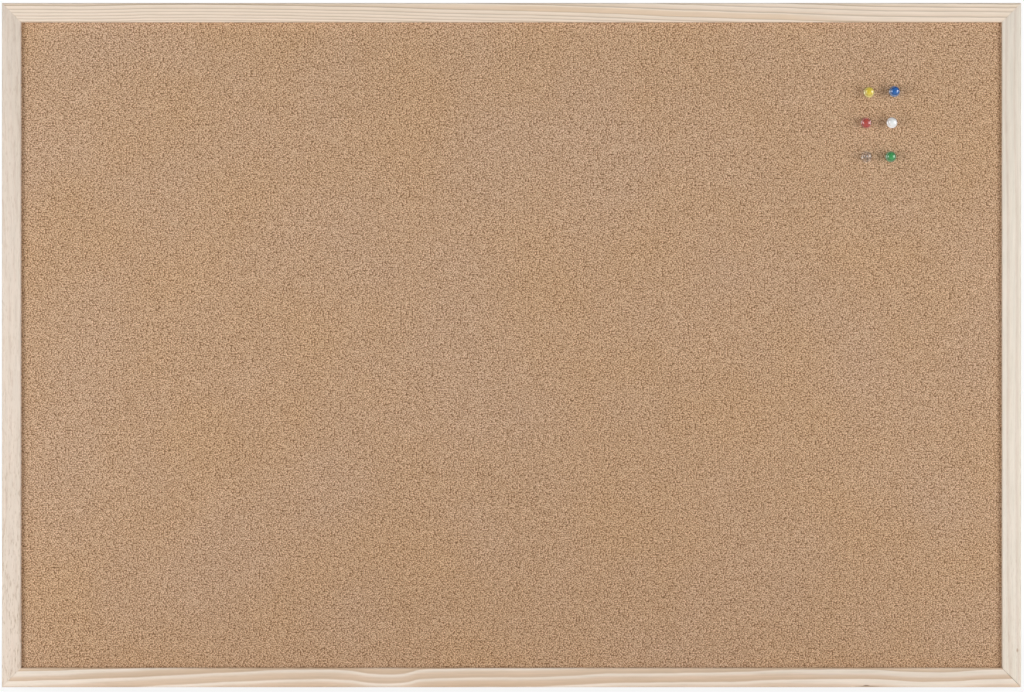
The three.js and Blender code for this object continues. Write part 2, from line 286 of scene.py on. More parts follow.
def follow(tree, value, points):  # a smooth line through (input, output) points
    places, levels = zip(*points)
    low, high = min(levels), max(levels)
    share = add(tree, "MapRange", {
        "Value": value, "From Min": places[0], "From Max": places[-1]}).outputs[0]
    node = add(tree, "FloatCurve", {"Value": share})
    line = node.mapping.curves[0]
    spots = [((x - places[0]) / (places[-1] - places[0]), (y - low) / (high - low)) for x, y in points]
    line.points[0].location, line.points[-1].location = spots[0], spots[-1]
    for spot in spots[1:-1]:
        line.points.new(*spot)
    node.mapping.update()
    return add(tree, "MapRange", {"Value": node.outputs[0], "To Min": low, "To Max": high}).outputs[0]


def noise(tree, coords, scale, detail=3, rough=0.5, shift=(0, 0, 0), distort=0):
    scale = scale if isinstance(scale, tuple) else (scale, scale, scale)
    moved = add(tree, "Mapping", {"Vector": coords, "Scale": scale, "Location": shift}).outputs[0]
    return add(tree, "TexNoise", {"Vector": moved, "Scale": 1, "Detail": detail,
                                  "Roughness": rough, "Distortion": distort}).outputs["Fac"]


def bump(tree, height, strength, distance):
    return add(tree, "Bump", {"Height": height, "Strength": strength, "Distance": distance}).outputs[0]


def millimetres(tree):
    coords = add(tree, "TexCoord").outputs["Object"]
    return add(tree, "Mapping", {"Vector": coords, "Scale": (1000, 1000, 1000)}).outputs[0]


# pine: colours as they look on screen, lengths in millimetres
# drift is how far the grain wanders inwards along a moulding, and growth turns depth into years
# year holds the colours from one spring to the next, and swell widens the pale ones
# fade, broken, flecks and ripple are how much the lines pale, come and go, carry dashes and wave
# warm is (first year, last year, how much along the length, colour)
# marks are (share of the length, depth, half length, half width, colour)
pineGrain = {
    "top_rail": {
        "seed": 3, "fade": 0.15, "flecks": 0.25, "ripple": 0.35, "broken": 0,
        "drift": [(0, 0), (0.10, 0), (0.17, -1.1), (0.29, 0), (0.46, 3.7), (0.57, 6.2), (0.67, 9.7),
                  (0.78, 12.8), (0.88, 15.4), (1, 16.4)],
        "growth": [(-18, 0), (-7.9, 3), (-3, 4), (2.8, 5), (9.1, 7), (18, 10.5)],
        "year": [(0, (239, 224, 208)), (0.45, (234, 217, 199)), (0.72, (225, 204, 182)),
                 (0.89, (188, 166, 142)), (0.95, (182, 160, 136)), (1, (239, 224, 208))],
        "warm": [(4.0, 4.85, [(0.36, 0.0), (0.52, 1.0), (0.77, 1.0), (0.83, 0.0)], (226, 200, 171))],
        "marks": []},
    "bottom_rail": {
        "seed": 11, "fade": 0.08, "flecks": 0.2, "ripple": 0.5, "broken": 0,
        "drift": [(0, 0), (0.10, 1.9), (0.18, 5.2), (0.24, 7.9), (0.30, 9.6), (0.34, 8.8), (0.378, 5.6),
                  (0.41, 9.6), (0.44, 10.8), (0.50, 11.3), (0.56, 12.8), (0.61, 14.7), (0.70, 15.4),
                  (0.78, 18), (0.85, 18.2), (0.906, 16.2), (0.97, 18.2), (1, 18.6)],
        "growth": [(-22, 3.29), (5.3, 0), (20, -1.77)],
        "swell": [(0, 2.4), (0.06, 2), (0.13, 1.1), (0.3, 1), (0.74, 1.1), (0.82, 2), (0.93, 2.3),
                  (1, 1.6)],
        "year": [(0, (250, 238, 224)), (0.13, (246, 232, 217)), (0.34, (232, 209, 186)),
                 (0.62, (226, 200, 173)), (0.86, (215, 188, 160)), (0.95, (237, 218, 199)),
                 (1, (250, 238, 224))],
        "warm": [],
        "marks": [(0.848, 1.3, 3.6, 0.8, (112, 88, 62)), (0.85, 0.9, 14, 0.6, (176, 152, 126))]},
    "left_stile": {
        "seed": 23, "fade": 0.25, "flecks": 1.7, "ripple": 1.6, "broken": 0.9,
        "drift": [(0, 4), (0.15, 8), (0.3, 14), (0.42, 18), (0.5, 17), (0.75, 8), (1, 0)],
        "growth": [(-20, 0), (20, 6.4)],
        "year": [(0, (236, 222, 208)), (0.5, (234, 219, 205)), (0.82, (221, 202, 186)),
                 (1, (236, 222, 208))],
        "warm": [], "marks": []},
    "right_stile": {
        "seed": 37, "fade": 0.2, "flecks": 0.5, "ripple": 0.5, "broken": 0.3,
        "drift": [(0, -3), (0.1, -0.8), (0.25, 0), (0.7, 0), (0.87, 1.6), (1, -0.2)],
        "growth": [(-10, -1.08), (20, 2.81)],
        "year": [(0, (241, 232, 219)), (0.45, (239, 229, 215)), (0.8, (227, 211, 195)),
                 (1, (241, 232, 219))],
        "warm": [], "marks": [(0.054, 3.5, 2.4, 1.2, (196, 172, 152))]},
}


pineNoise = {  # turns to the millimetre along, behind and across the grain
    "ripple": (0.022, 0.05, 0.06), "pieces": (0.07, 0.3, 0.4), "mottles": (0.035, 0.2, 0.22),
    "fibres": (0.03, 1.5, 1.8), "dashes": (0.17, 0.6, 1.3), "cloud": (0.007, 0.03, 0.05),
}
pineLook = {
    "wave": 4, "lean": 0.3,  # how far ripples reach, and how much the grain leans through the depth
    "warmFringe": 0.1, "warmClimb": 0.3, "warmMost": 0.7,  # years a warm band takes to end and to rise
    "pieces": (0.45, 0.58),  # a line is broken below the first and whole above the second
    "mottles": [(0.3, (0.965, 0.97, 0.965)), (0.7, (1.02, 1.015, 1.02))],
    "threads": [(0.3, 0.92), (0.55, 1.0), (0.75, 1.03)],
    "dash": (196, 174, 152), "dashMost": 0.55, "dashes": [(0.55, 0.0), (0.68, 1.0)],
    "dashPlaces": [(0.05, 1.0), (0.45, 0.35)],  # more of them low down or to the left
    "markEdge": [(0.35, 1.0), (1.0, 0.0)],
    "clouds": [(0.35, (1.0, 0.995, 0.99)), (0.65, (0.995, 0.98, 0.96))],
    "rough": [(0.3, 0.64), (0.7, 0.52)],
    "specular": 0.35, "yearRelief": 0.4, "relief": 0.15, "reliefDepth": 0.15 * mm,
}


def pineFinish(side):
    wood, look = pineGrain[side], pineLook
    upright = "stile" in side
    finish, tree, shader = newFinish("pine_" + side)
    x, y, z = add(tree, "SeparateXYZ", {"Vector": millimetres(tree)}).outputs
    along, across = (z, x) if upright else (x, z)
    half = cadBox[1].z / mm if upright else cadBox[1].x / mm
    edge = cadBox[1].x / mm if upright else cadBox[1].z / mm
    inwards = -1 if side in ("top_rail", "right_stile") else 1
    depth = calc(tree, "MULTIPLY_ADD", across, inwards, edge)  # from the board's edge
    share = calc(tree, "MULTIPLY_ADD", along, 0.5 / half, 0.5)
    grain = add(tree, "CombineXYZ", {"X": along, "Y": y, "Z": depth}).outputs[0]
    seed = wood["seed"]
    wave = look["wave"] * wood["ripple"]
    ripple = noise(tree, grain, pineNoise["ripple"], 3, 0.55, (seed, 0, seed))
    ripple = calc(tree, "MULTIPLY_ADD", ripple, wave, -wave / 2)
    reach = calc(tree, "SUBTRACT", depth, follow(tree, share, wood["drift"]))
    behind = calc(tree, "SUBTRACT", y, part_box(side)[0].y / mm)  # the face
    reach = calc(tree, "MULTIPLY_ADD", behind, look["lean"], calc(tree, "ADD", reach, ripple))
    year = follow(tree, reach, wood["growth"])
    season = calc(tree, "FRACT", year)
    if "swell" in wood:  # wider pale streaks near the ends
        season = calc(tree, "POWER", season, follow(tree, share, wood["swell"]))
    pale = seen(*wood["year"][0][1])
    colour = ramp(tree, season, [(place, seen(*shade)) for place, shade in wood["year"]])
    for first, last, amounts, shade in wood["warm"]:
        fringe, climb, most = look["warmFringe"], look["warmClimb"], look["warmMost"]
        swing = [(first - fringe, 0), (first, 0), (first + climb, most), (last, most), (last + fringe, 0)]
        inside = calc(tree, "MULTIPLY", follow(tree, year, swing), ramp(tree, share, amounts))
        colour = blend(tree, inside, colour, (*seen(*shade), 1))
    whole = calc(tree, "FLOOR", year)
    luck = add(tree, "TexWhiteNoise", {"W": whole}, noise_dimensions="1D").outputs["Value"]
    faded = calc(tree, "MULTIPLY", luck, 2 * wood["fade"])  # some years show less
    colour = blend(tree, faded, colour, (*pale, 1))
    pieces = noise(tree, grain, pineNoise["pieces"], 3, 0.6, (seed, 7, 0))
    broken, mended = look["pieces"]
    pieces = ramp(tree, pieces, [(broken, wood["broken"]), (mended, 0.0)])  # lines that come and go
    colour = blend(tree, pieces, colour, (*pale, 1))
    mottles = noise(tree, grain, pineNoise["mottles"], 3, 0.6, (0, 0, seed))
    colour = tint(tree, colour, mottles, look["mottles"])
    fibres = noise(tree, grain, pineNoise["fibres"], 4, 0.6, (seed, 0, seed))
    colour = tint(tree, colour, fibres, look["threads"])
    dashes = noise(tree, grain, pineNoise["dashes"], 2, 0.6, (0, seed, 5))
    dashes = ramp(tree, dashes, look["dashes"])
    dashes = calc(tree, "MULTIPLY", dashes, ramp(tree, share, look["dashPlaces"]))
    dashes = calc(tree, "MULTIPLY", dashes, look["dashMost"] * wood["flecks"])
    colour = blend(tree, dashes, colour, (*seen(*look["dash"]), 1))
    for place, deep, length, width, shade in wood["marks"]:
        run = calc(tree, "DIVIDE", calc(tree, "SUBTRACT", share, place), length / (2 * half))
        rise = calc(tree, "DIVIDE", calc(tree, "SUBTRACT", depth, deep), width)
        away = add(tree, "CombineXYZ", {"X": run, "Y": rise}).outputs[0]
        away = add(tree, "VectorMath", {0: away}, operation="LENGTH").outputs["Value"]
        colour = blend(tree, ramp(tree, away, look["markEdge"]), colour, (*seen(*shade), 1))
    cloud = noise(tree, grain, pineNoise["cloud"], 2, 0.5, (seed, seed, seed))
    feed(tree, shader.inputs["Base Color"], tint(tree, colour, cloud, look["clouds"]))
    feed(tree, shader.inputs["Roughness"], ramp(tree, fibres, look["rough"]))
    shader.inputs["Specular IOR Level"].default_value = look["specular"]
    relief = calc(tree, "MULTIPLY_ADD", season, look["yearRelief"], fibres)
    feed(tree, shader.inputs["Normal"], bump(tree, relief, look["relief"], look["reliefDepth"]))
    return finish


# frame mouldings: sizes as the CAD mouldings, mitres closer than theirs
moulding = {
    "width": 17 * mm, "depth": 19 * mm, "lip": 4.5 * mm, "rebate": 6 * mm,
    "outerRound": 1.6 * mm, "innerRound": 1.2 * mm, "backEase": 0.6 * mm, "roundSteps": 8,
    "tightMitre": 0.02 * mm, "openMitre": 0.14 * mm,  # half the line between two mitred ends
    "arris": 0.12 * mm, "nailThickness": 0.6 * mm, "slotPlay": 0.06 * mm, "pilotRadius": 1.45 * mm,
    "easeSteps": 2, "past": 1 * mm,  # past is how far a cutter runs beyond a face
}
mouldingSides = {  # quarter turns round the board's centre, and the mitres at the two ends
    "top_rail": (0, "tightMitre", "tightMitre"),
    "right_stile": (1, "openMitre", "tightMitre"),
    "bottom_rail": (2, "tightMitre", "openMitre"),
    "left_stile": (3, "tightMitre", "tightMitre"),
}


def mouldingBlank(side):  # made as the top rail, then turned to its side
    turn, startMitre, endMitre = mouldingSides[side]
    low, high = cadBox
    length, outer = (high.x - low.x, high.z) if turn % 2 == 0 else (high.z - low.z, high.x)
    size = moulding
    depth = size["depth"]
    floor = size["lip"] - depth  # where the rebate ends
    inner = outer - size["width"]
    piece = startBox(side + "_pine", (-length / 2, -depth, inner + size["rebate"]), (length / 2, 0, outer))
    edit(piece)
    bpy.ops.mesh.select_all(action="SELECT")
    bpy.ops.mesh.bisect(plane_co=(0, floor, 0), plane_no=(0, 1, 0))
    pick(piece, "FACE", lambda mid, normal: normal.z < -0.9 and mid.y < floor)
    bpy.ops.mesh.extrude_region_move(TRANSFORM_OT_translate={"value": (0, 0, -size["rebate"])})
    rounds = [(-depth, inner, size["innerRound"], size["roundSteps"]),
              (-depth, outer, size["outerRound"], size["roundSteps"]),
              (0, outer, size["backEase"], size["easeSteps"])]
    for y, z, offset, steps in rounds:
        pick(piece, "EDGE", lambda mid, way: (
            abs(way.x) > 0.9 and abs(mid.y - y) < near and abs(mid.z - z) < near))
        bpy.ops.mesh.bevel(offset=offset, segments=steps, affect="EDGES")
    for way, mitre in ((1, startMitre), (-1, endMitre)):
        edit(piece)
        bpy.ops.mesh.select_all(action="SELECT")
        bpy.ops.mesh.bisect(
            plane_co=(way * (length / 2 - size[mitre] * math.sqrt(2)), 0, outer),
            plane_no=(way, 0, -1), clear_outer=True, use_fill=True)
    work(piece)
    piece.rotation_euler.y = turn * math.pi / 2
    settle(piece)
    return piece


def mouldingSlots(side):  # slots for the nails and points, and the screw's pilot hole
    word = side.split("_")[0]
    play = moulding["slotPlay"]
    gap = Vector((play, play, play))
    cutters = []
    for node in frame["nodes"]:
        low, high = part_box(node)
        if node.startswith("v_nail") and word in node:
            low, high = low - gap, high + gap
            high.y = moulding["past"]
            axis = 0 if "stile" in side else 2  # the leg in this moulding lies nearer the board's edge
            leg = moulding["nailThickness"] + 2 * play
            if high[axis] > 0:
                low[axis] = high[axis] - leg
            else:
                high[axis] = low[axis] + leg
            cutters.append(startBox("slot", low, high))
        elif node.startswith("panel_point_" + side):
            cutters.append(startBox("slot", low - gap, high + gap))
        elif node == word + "_hanger_screw":
            length = high.y - low.y + moulding["past"]
            cutters.append(startRod("pilot", (low + high) / 2, moulding["pilotRadius"], length))
    return cutters


def buildMouldings():
    for side in mouldingSides:
        piece = mouldingBlank(side)
        for cutter in mouldingSlots(side):
            combine(piece, cutter)
        softenEdges(piece, moulding["arris"])
        smooth(piece)
        standFor(piece, side, pineFinish(side))
    print("frame mouldings made")


# cork: pressed granules of many browns, with painted highlights in their middles, painted shade towards
# their seams and a little relief
corkLook = {
    "granule": 1.25, "tint": 0.22,  # millimetres across, and how much the granules differ
    "bend": 1.2, "bendReach": 0.6,  # how finely and how far the granules' outlines bend
    "crumb": 3.2, "cloud": 0.02, "drift": 0.009,  # noise turns to the millimetre
    "rough": 0.9, "specular": 0.2, "granuleRelief": -0.6, "relief": 0.3, "reliefDepth": 0.2 * mm,
    "highlightToSeams": [(0, (252, 224, 197)), (0.15, (220, 188, 158)), (0.40, (186, 152, 121)),
               (0.66, (155, 122, 92)), (0.95, (116, 85, 59))],  # from a granule's middle, paler as a painted highlight, to its seams, darker with the real gaps and painted shade
    "speckles": [(0.34, 0.62), (0.52, 1.085), (0.68, 1.25)],
    "clouds": [(0.3, 0.99), (0.7, 1.01)],
    "warmth": [(0.35, (1.0, 1.0, 1.01)), (0.65, (1.0, 0.97, 0.90))],
}


def corkFinish():
    look = corkLook
    finish, tree, shader = newFinish("cork_granules")
    coords = millimetres(tree)
    spot = add(tree, "SeparateXYZ", {"Vector": coords}).outputs
    flat = add(tree, "CombineXYZ", {"X": spot["X"], "Y": spot["Z"]}).outputs[0]
    bend = add(tree, "TexNoise", {"Vector": coords, "Scale": look["bend"], "Detail": 1}).outputs["Color"]
    bend = add(tree, "VectorMath", {0: bend, "Scale": look["bendReach"]}, operation="SCALE").outputs[0]
    bent = add(tree, "VectorMath", {0: flat, 1: bend}, operation="ADD").outputs[0]
    granules = add(tree, "TexVoronoi", {"Vector": bent, "Scale": 1 / look["granule"]},
                   voronoi_dimensions="2D").outputs
    luck = add(tree, "SeparateColor", {"Color": granules["Color"]}).outputs[0]
    lean = calc(tree, "MULTIPLY_ADD", luck, look["tint"], -look["tint"] / 2)
    shade = calc(tree, "ADD", granules["Distance"], lean)
    # each granule is painted paler in its middle as a highlight and darker towards its seams as shade,
    # over the real dark gaps between granules
    colour = ramp(tree, shade, [(place, seen(*tone)) for place, tone in look["highlightToSeams"]])
    crumbs = noise(tree, coords, look["crumb"], 4, 0.7, (1, 2, 3))
    colour = tint(tree, colour, crumbs, look["speckles"])
    cloud = noise(tree, coords, look["cloud"], 4, 0.6)
    colour = tint(tree, colour, cloud, look["clouds"])
    drift = noise(tree, coords, look["drift"], 3, 0.5, (4, 8, 2))
    colour = tint(tree, colour, drift, look["warmth"])
    feed(tree, shader.inputs["Base Color"], colour)
    shader.inputs["Roughness"].default_value = look["rough"]
    shader.inputs["Specular IOR Level"].default_value = look["specular"]
    relief = calc(tree, "MULTIPLY_ADD", shade, look["granuleRelief"], crumbs)
    feed(tree, shader.inputs["Normal"], bump(tree, relief, look["relief"], look["reliefDepth"]))
    return finish


# soft fibreboard core and hardboard back: screen is the pitch of the press screen's mark
boardLook = {
    "fibre_core": {"dark": (122, 98, 70), "pale": (178, 154, 120), "screen": 0},
    "hardboard_back": {"dark": (92, 66, 44), "pale": (142, 108, 76), "screen": 2.2},
}
boardFibres = {
    "wisps": 0.35, "specks": 1.6, "cloud": 0.012,  # noise turns to the millimetre
    "wispShare": 0.6, "darkest": 0.32, "palest": 0.68,
    "clouds": [(0.3, 0.88), (0.7, 1.08)], "rough": [(0.3, 0.78), (0.7, 0.62)],
    "screenRelief": 0.5, "relief": 0.3, "reliefDepth": 0.2 * mm,
}


def fibreFinish(node):
    look, make = boardLook[node], boardFibres
    finish, tree, shader = newFinish(node + "_fibres")
    coords = millimetres(tree)
    wisps = noise(tree, coords, make["wisps"], 6, 0.7, distort=1.5)
    specks = noise(tree, coords, make["specks"], 3, 0.6, (9, 4, 2))
    cloud = noise(tree, coords, make["cloud"], 3, 0.5, (3, 5, 7))
    grit = calc(tree, "MULTIPLY", specks, 1 - make["wispShare"])
    fibres = calc(tree, "MULTIPLY_ADD", wisps, make["wispShare"], grit)
    colour = ramp(tree, fibres, [(make["darkest"], seen(*look["dark"])),
                                 (make["palest"], seen(*look["pale"]))])
    feed(tree, shader.inputs["Base Color"], tint(tree, colour, cloud, make["clouds"]))
    feed(tree, shader.inputs["Roughness"], ramp(tree, specks, make["rough"]))
    height = fibres
    if look["screen"]:
        spot = add(tree, "SeparateXYZ", {"Vector": coords}).outputs
        turns = 2 * math.pi / look["screen"]
        weave = calc(tree, "MULTIPLY", calc(tree, "SINE", calc(tree, "MULTIPLY", spot["X"], turns)),
                     calc(tree, "SINE", calc(tree, "MULTIPLY", spot["Z"], turns)))
        height = calc(tree, "MULTIPLY_ADD", weave, make["screenRelief"], fibres)
    feed(tree, shader.inputs["Normal"], bump(tree, height, make["relief"], make["reliefDepth"]))
    return finish


def dressPanel():
    dress(frame["nodes"]["cork_sheet"], corkFinish())
    for node in boardLook:
        dress(frame["nodes"][node], fibreFinish(node))
    print("panel dressed")


# steel: bright for nails, points and needles, plated for the hangers
steelLook = {
    "bright": {"tone": (0.60, 0.61, 0.62), "shade": (0.44, 0.45, 0.46),
               "rough": [(0.3, 0.22), (0.7, 0.36)]},
    "plated": {"tone": (0.72, 0.71, 0.68), "shade": (0.52, 0.51, 0.48),
               "rough": [(0.3, 0.18), (0.7, 0.34)]},
}
steelMarks = {
    "stain": 0.5, "brushed": (7, 7, 0.8),  # noise turns to the millimetre
    "relief": 0.12, "reliefDepth": 0.03 * mm,
}


def steelFinish(kind):
    look = steelLook[kind]
    finish, tree, shader = newFinish(kind + "_wire_steel")
    coords = millimetres(tree)
    stain = noise(tree, coords, steelMarks["stain"], 4, 0.6, (5, 1, 8))
    feed(tree, shader.inputs["Base Color"], blend(tree, stain, (*look["tone"], 1), (*look["shade"], 1)))
    shader.inputs["Metallic"].default_value = 1.0
    feed(tree, shader.inputs["Roughness"], ramp(tree, stain, look["rough"]))
    brushed = noise(tree, coords, steelMarks["brushed"], 3, 0.6)
    relief = bump(tree, brushed, steelMarks["relief"], steelMarks["reliefDepth"])
    feed(tree, shader.inputs["Normal"], relief)
    return finish


# push pins: moulded heads on steel needles, sizes in millimetres
pinShape = {
    "flange": 4.75, "flangeRim": 0.7, "flangeSlope": 23, "shoulder": 1.8, "waist": 2.4,
    "waistHeight": 4.6, "cap": 3.8, "capUnder": 9.6, "capRound": 0.6, "dome": 0.8, "height": 12,
    "bore": 0.6, "boreDepth": 8.05,
    "needle": 0.55, "needleReach": 9.5, "needlePoint": 2.5, "needleEmbed": 8,
    "pointSwell": 0.55, "needleEase": 0.2,  # the point's width half way up, and the eased upper end
    "rimSteps": 10, "flareSteps": 12, "neckSteps": 14, "capSteps": 8, "domeSteps": 10,
    "headSides": 48, "needleSides": 20, "capTopShade": 0.35,  # how much painted shade the middle of the cap's top gets
}
pinPlastic = {  # colours of the thin flange, paler as painted light shining through it, the cap's top, and the thick rim and waist, darker with painted shade, and how much light passes
    "yellow": {"thin": (0.84, 0.70, 0.24), "top": (0.90, 0.69, 0.03),
               "shadedRim": (0.78, 0.60, 0.12), "pass": 0.15},
    "blue": {"thin": (0.36, 0.48, 0.72), "top": (0.0, 0.25, 0.88),
             "shadedRim": (0.03, 0.13, 0.42), "pass": 0.55},
    "red": {"thin": (0.78, 0.36, 0.30), "top": (0.86, 0.11, 0.08),
            "shadedRim": (0.64, 0.10, 0.08), "pass": 0.55},
    "white": {"thin": (0.92, 0.91, 0.90), "top": (0.87, 0.90, 0.89),
              "shadedRim": (0.92, 0.91, 0.90), "pass": 0},
    "clear": {"thin": (0.99, 0.98, 0.97), "top": (0.99, 0.98, 0.97),
              "shadedRim": (1.0, 0.99, 0.98), "pass": 1.0},
    "green": {"thin": (0.36, 0.60, 0.36), "top": (0.06, 0.62, 0.15),
              "shadedRim": (0.07, 0.40, 0.13), "pass": 0.55},
}


plasticLook = {
    "index": 1.49, "specular": 0.9, "coat": 0.5, "coatRough": 0.05,  # the coat is the mould's polish
    "swirl": 0.25, "touch": 1.4,  # noise turns to the millimetre
    "topPlace": 0.4, "swirls": [(0.35, 0.92), (0.7, 1.0)],
    "mostHaze": 1.2, "rough": [(0.35, 0.07), (0.75, 0.2)], "relief": 0.04, "reliefDepth": 0.05 * mm,
}


def plasticFinish(colour):
    look, make = pinPlastic[colour], plasticLook
    finish, tree, shader = newFinish(colour + "_moulded_plastic")
    coords = millimetres(tree)
    # the head's colour is painted pale where light shines through the flange and dark where shade falls at
    # the waist and the rim
    lightToShade = add(tree, "Attribute", attribute_name="lightToShade").outputs["Fac"]
    tone = ramp(tree, lightToShade, [(0, look["thin"]), (make["topPlace"], look["top"]), (1, look["shadedRim"])])
    swirl = noise(tree, coords, make["swirl"], 2, 0.5, distort=0.8)
    feed(tree, shader.inputs["Base Color"], tint(tree, tone, swirl, make["swirls"]))
    shader.inputs["Transmission Weight"].default_value = look["pass"]
    shader.inputs["IOR"].default_value = make["index"]
    shader.inputs["Specular IOR Level"].default_value = make["specular"]
    shader.inputs["Coat Weight"].default_value = make["coat"]
    shader.inputs["Coat Roughness"].default_value = make["coatRough"]
    touch = noise(tree, coords, make["touch"], 4, 0.65, (2, 6, 4))
    haze = make["mostHaze"] - look["pass"]  # the clearer, the finer the surface
    rough = [(place, level * haze) for place, level in make["rough"]]
    feed(tree, shader.inputs["Roughness"], ramp(tree, touch, rough))
    feed(tree, shader.inputs["Normal"], bump(tree, touch, make["relief"], make["reliefDepth"]))
    return finish


def headProfile():
    shape = pinShape
    rim, cap, height = shape["flangeRim"], shape["cap"], shape["height"]
    domeRadius = cap - shape["capRound"]
    domeFoot = height - shape["dome"]
    capEdge = domeFoot - 2 * shape["dome"] * shape["capRound"] / domeRadius
    flangeEdge = arc((shape["flange"] - rim, rim), rim, -90, 90 - shape["flangeSlope"], shape["rimSteps"])
    waist = (shape["waist"], shape["waistHeight"])
    points = [(0, shape["boreDepth"]), (shape["bore"], shape["boreDepth"]), (shape["bore"], 0)]
    points += flangeEdge
    points += bow(flangeEdge[-1], (shape["waist"], shape["shoulder"]), waist, shape["flareSteps"])[1:]
    capFoot = (cap, shape["capUnder"] + shape["capRound"])
    points += bow(waist, (shape["waist"], shape["capUnder"]), capFoot, shape["neckSteps"])[1:]
    capTop, domeStart = (cap, capEdge - shape["capRound"]), (domeRadius, domeFoot)
    points += bow(capTop, (cap, capEdge), domeStart, shape["capSteps"])
    points += bow(domeStart, (domeRadius / 2, height), (0, height), shape["domeSteps"])[1:]
    return points


def markLightAndShade(head):  # painted light and shade on the head: light shining through the flange is painted pale, shade at the waist and the rim is painted dark, and the cap's top darkens towards its rim
    lightToShade = head.data.attributes.new("lightToShade", "FLOAT", "POINT").data
    middle = pinShape["capTopShade"]
    for point, mark in zip(head.data.vertices, lightToShade):
        radius = math.hypot(point.co.x, point.co.y) / mm
        height = point.co.z / mm
        if height < pinShape["shoulder"]:
            mark.value = 0
        elif height > pinShape["height"] - 2 * pinShape["dome"]:
            mark.value = middle + (1 - middle) * (radius / pinShape["cap"]) ** 2
        else:
            mark.value = 1


def needleProfile():
    shape = pinShape
    radius, reach, embed = shape["needle"], shape["needleReach"], shape["needleEmbed"]
    point, ease = shape["needlePoint"], shape["needleEase"]
    return [(0, -reach), (radius * shape["pointSwell"], point / 2 - reach), (radius, point - reach),
            (radius, embed - ease), (radius - ease, embed), (0, embed)]


def pinSeat(colour):  # the middle of the flange's underside, and the way the pin leaves the cork
    joint = next(j for j in frame["joints"] if j["name"] == colour + "_pin_pull")
    way = Vector(joint["axis"]).normalized()
    needle = [v.co for v in frame["nodes"][colour + "_pin_needle"].data.vertices]
    head = [v.co for v in frame["nodes"][colour + "_pin_head"].data.vertices]
    middle = sum(needle, Vector()) / len(needle)
    return middle + way * min((point - middle).dot(way) for point in head), way


def buildPins():
    steel = steelFinish("bright")
    models = {"head": turnedPiece("pin_head_model", headProfile(), pinShape["headSides"]),
              "needle": turnedPiece("pin_needle_model", needleProfile(), pinShape["needleSides"])}
    markLightAndShade(models["head"])
    for colour in pinPlastic:
        seat, way = pinSeat(colour)
        for part, model in models.items():
            node = f"{colour}_pin_{part}"
            piece = twin(model, node + "_fine")
            piece.rotation_euler = way.to_track_quat("Z", "Y").to_euler()
            piece.location = seat
            settle(piece)
            smooth(piece, angle=40)
            standFor(piece, node, plasticFinish(colour) if part == "head" else steel)
    for model in models.values():
        bpy.data.objects.remove(model)
    for node, piece in frame["nodes"].items():
        if node.startswith(("v_nail", "panel_point")):
            dress(piece, steel)
    print("push pins made")


# ring hangers: folded strap, wire ring and screw, made round a hinge line at the origin, in millimetres
hanger = {
    "strapWidth": 7, "sheet": 0.8, "slit": 0.2, "tail": 4, "strapArris": 0.1, "hole": 1.7,
    "wire": 1.1, "wireSides": 20, "play": 0.2, "bend": 1.5, "inside": 8.4, "reach": 11, "butt": 0.3,
    "screwHead": 2.7, "headHeight": 1.8, "headRim": 0.6, "shank": 1.4, "screwLength": 12, "screwPoint": 3,
    "cross": 3.4, "crossWidth": 0.8, "crossDepth": 1.0, "crossTaper": 0.7,
    "tailSides": 48, "innerSteps": 28, "outerSteps": 36, "bendSteps": 8, "archSteps": 32,
    "screwSides": 40, "domeSteps": 10,
    "past": 10, "above": 9, "lift": 1,  # how far cutters run to each side, over the loop and the screw
}


def strapModel(screwDrop):
    size = hanger
    inner = size["wire"] + size["play"]
    outer = inner + size["sheet"]
    base = -outer  # underside of the strap
    slitFloor = base + size["sheet"]
    slitRoof = slitFloor + size["slit"]
    top = slitRoof + size["sheet"]
    tail = -screwDrop - size["tail"]
    innerMeet = math.degrees(math.acos(slitRoof / inner))
    outerMeet = math.degrees(math.acos(top / outer))
    section = [(base, tail), (slitFloor, tail)]
    section += arc((0, 0), inner, 180, -innerMeet, size["innerSteps"])
    section += [(slitRoof, tail), (top, tail)]
    section += arc((0, 0), outer, -outerMeet, 180, size["outerSteps"])
    half = size["strapWidth"] / 2
    strap = drawOutline("strap_model", [(-half * mm, y * mm, z * mm) for y, z in section])
    bpy.ops.mesh.select_all(action="SELECT")
    bpy.ops.mesh.edge_face_add()
    bpy.ops.mesh.extrude_region_move(TRANSFORM_OT_translate={"value": (2 * half * mm, 0, 0)})
    tidyMesh(strap)
    middle, past = (tail + half) * mm, size["past"] * mm
    outline = startRod("tail", (0, 0, middle), half * mm, 2 * past, size["tailSides"])
    body = startBox("body", (-half * mm, -past, middle), (half * mm, past, size["above"] * mm))
    combine(outline, body, "UNION")
    combine(strap, outline, "INTERSECT")
    combine(strap, startRod("hole", (0, 0, -screwDrop * mm), size["hole"] * mm, 2 * past))
    softenEdges(strap, size["strapArris"] * mm, angle=50)
    tidyMesh(strap)
    smooth(strap)
    return strap


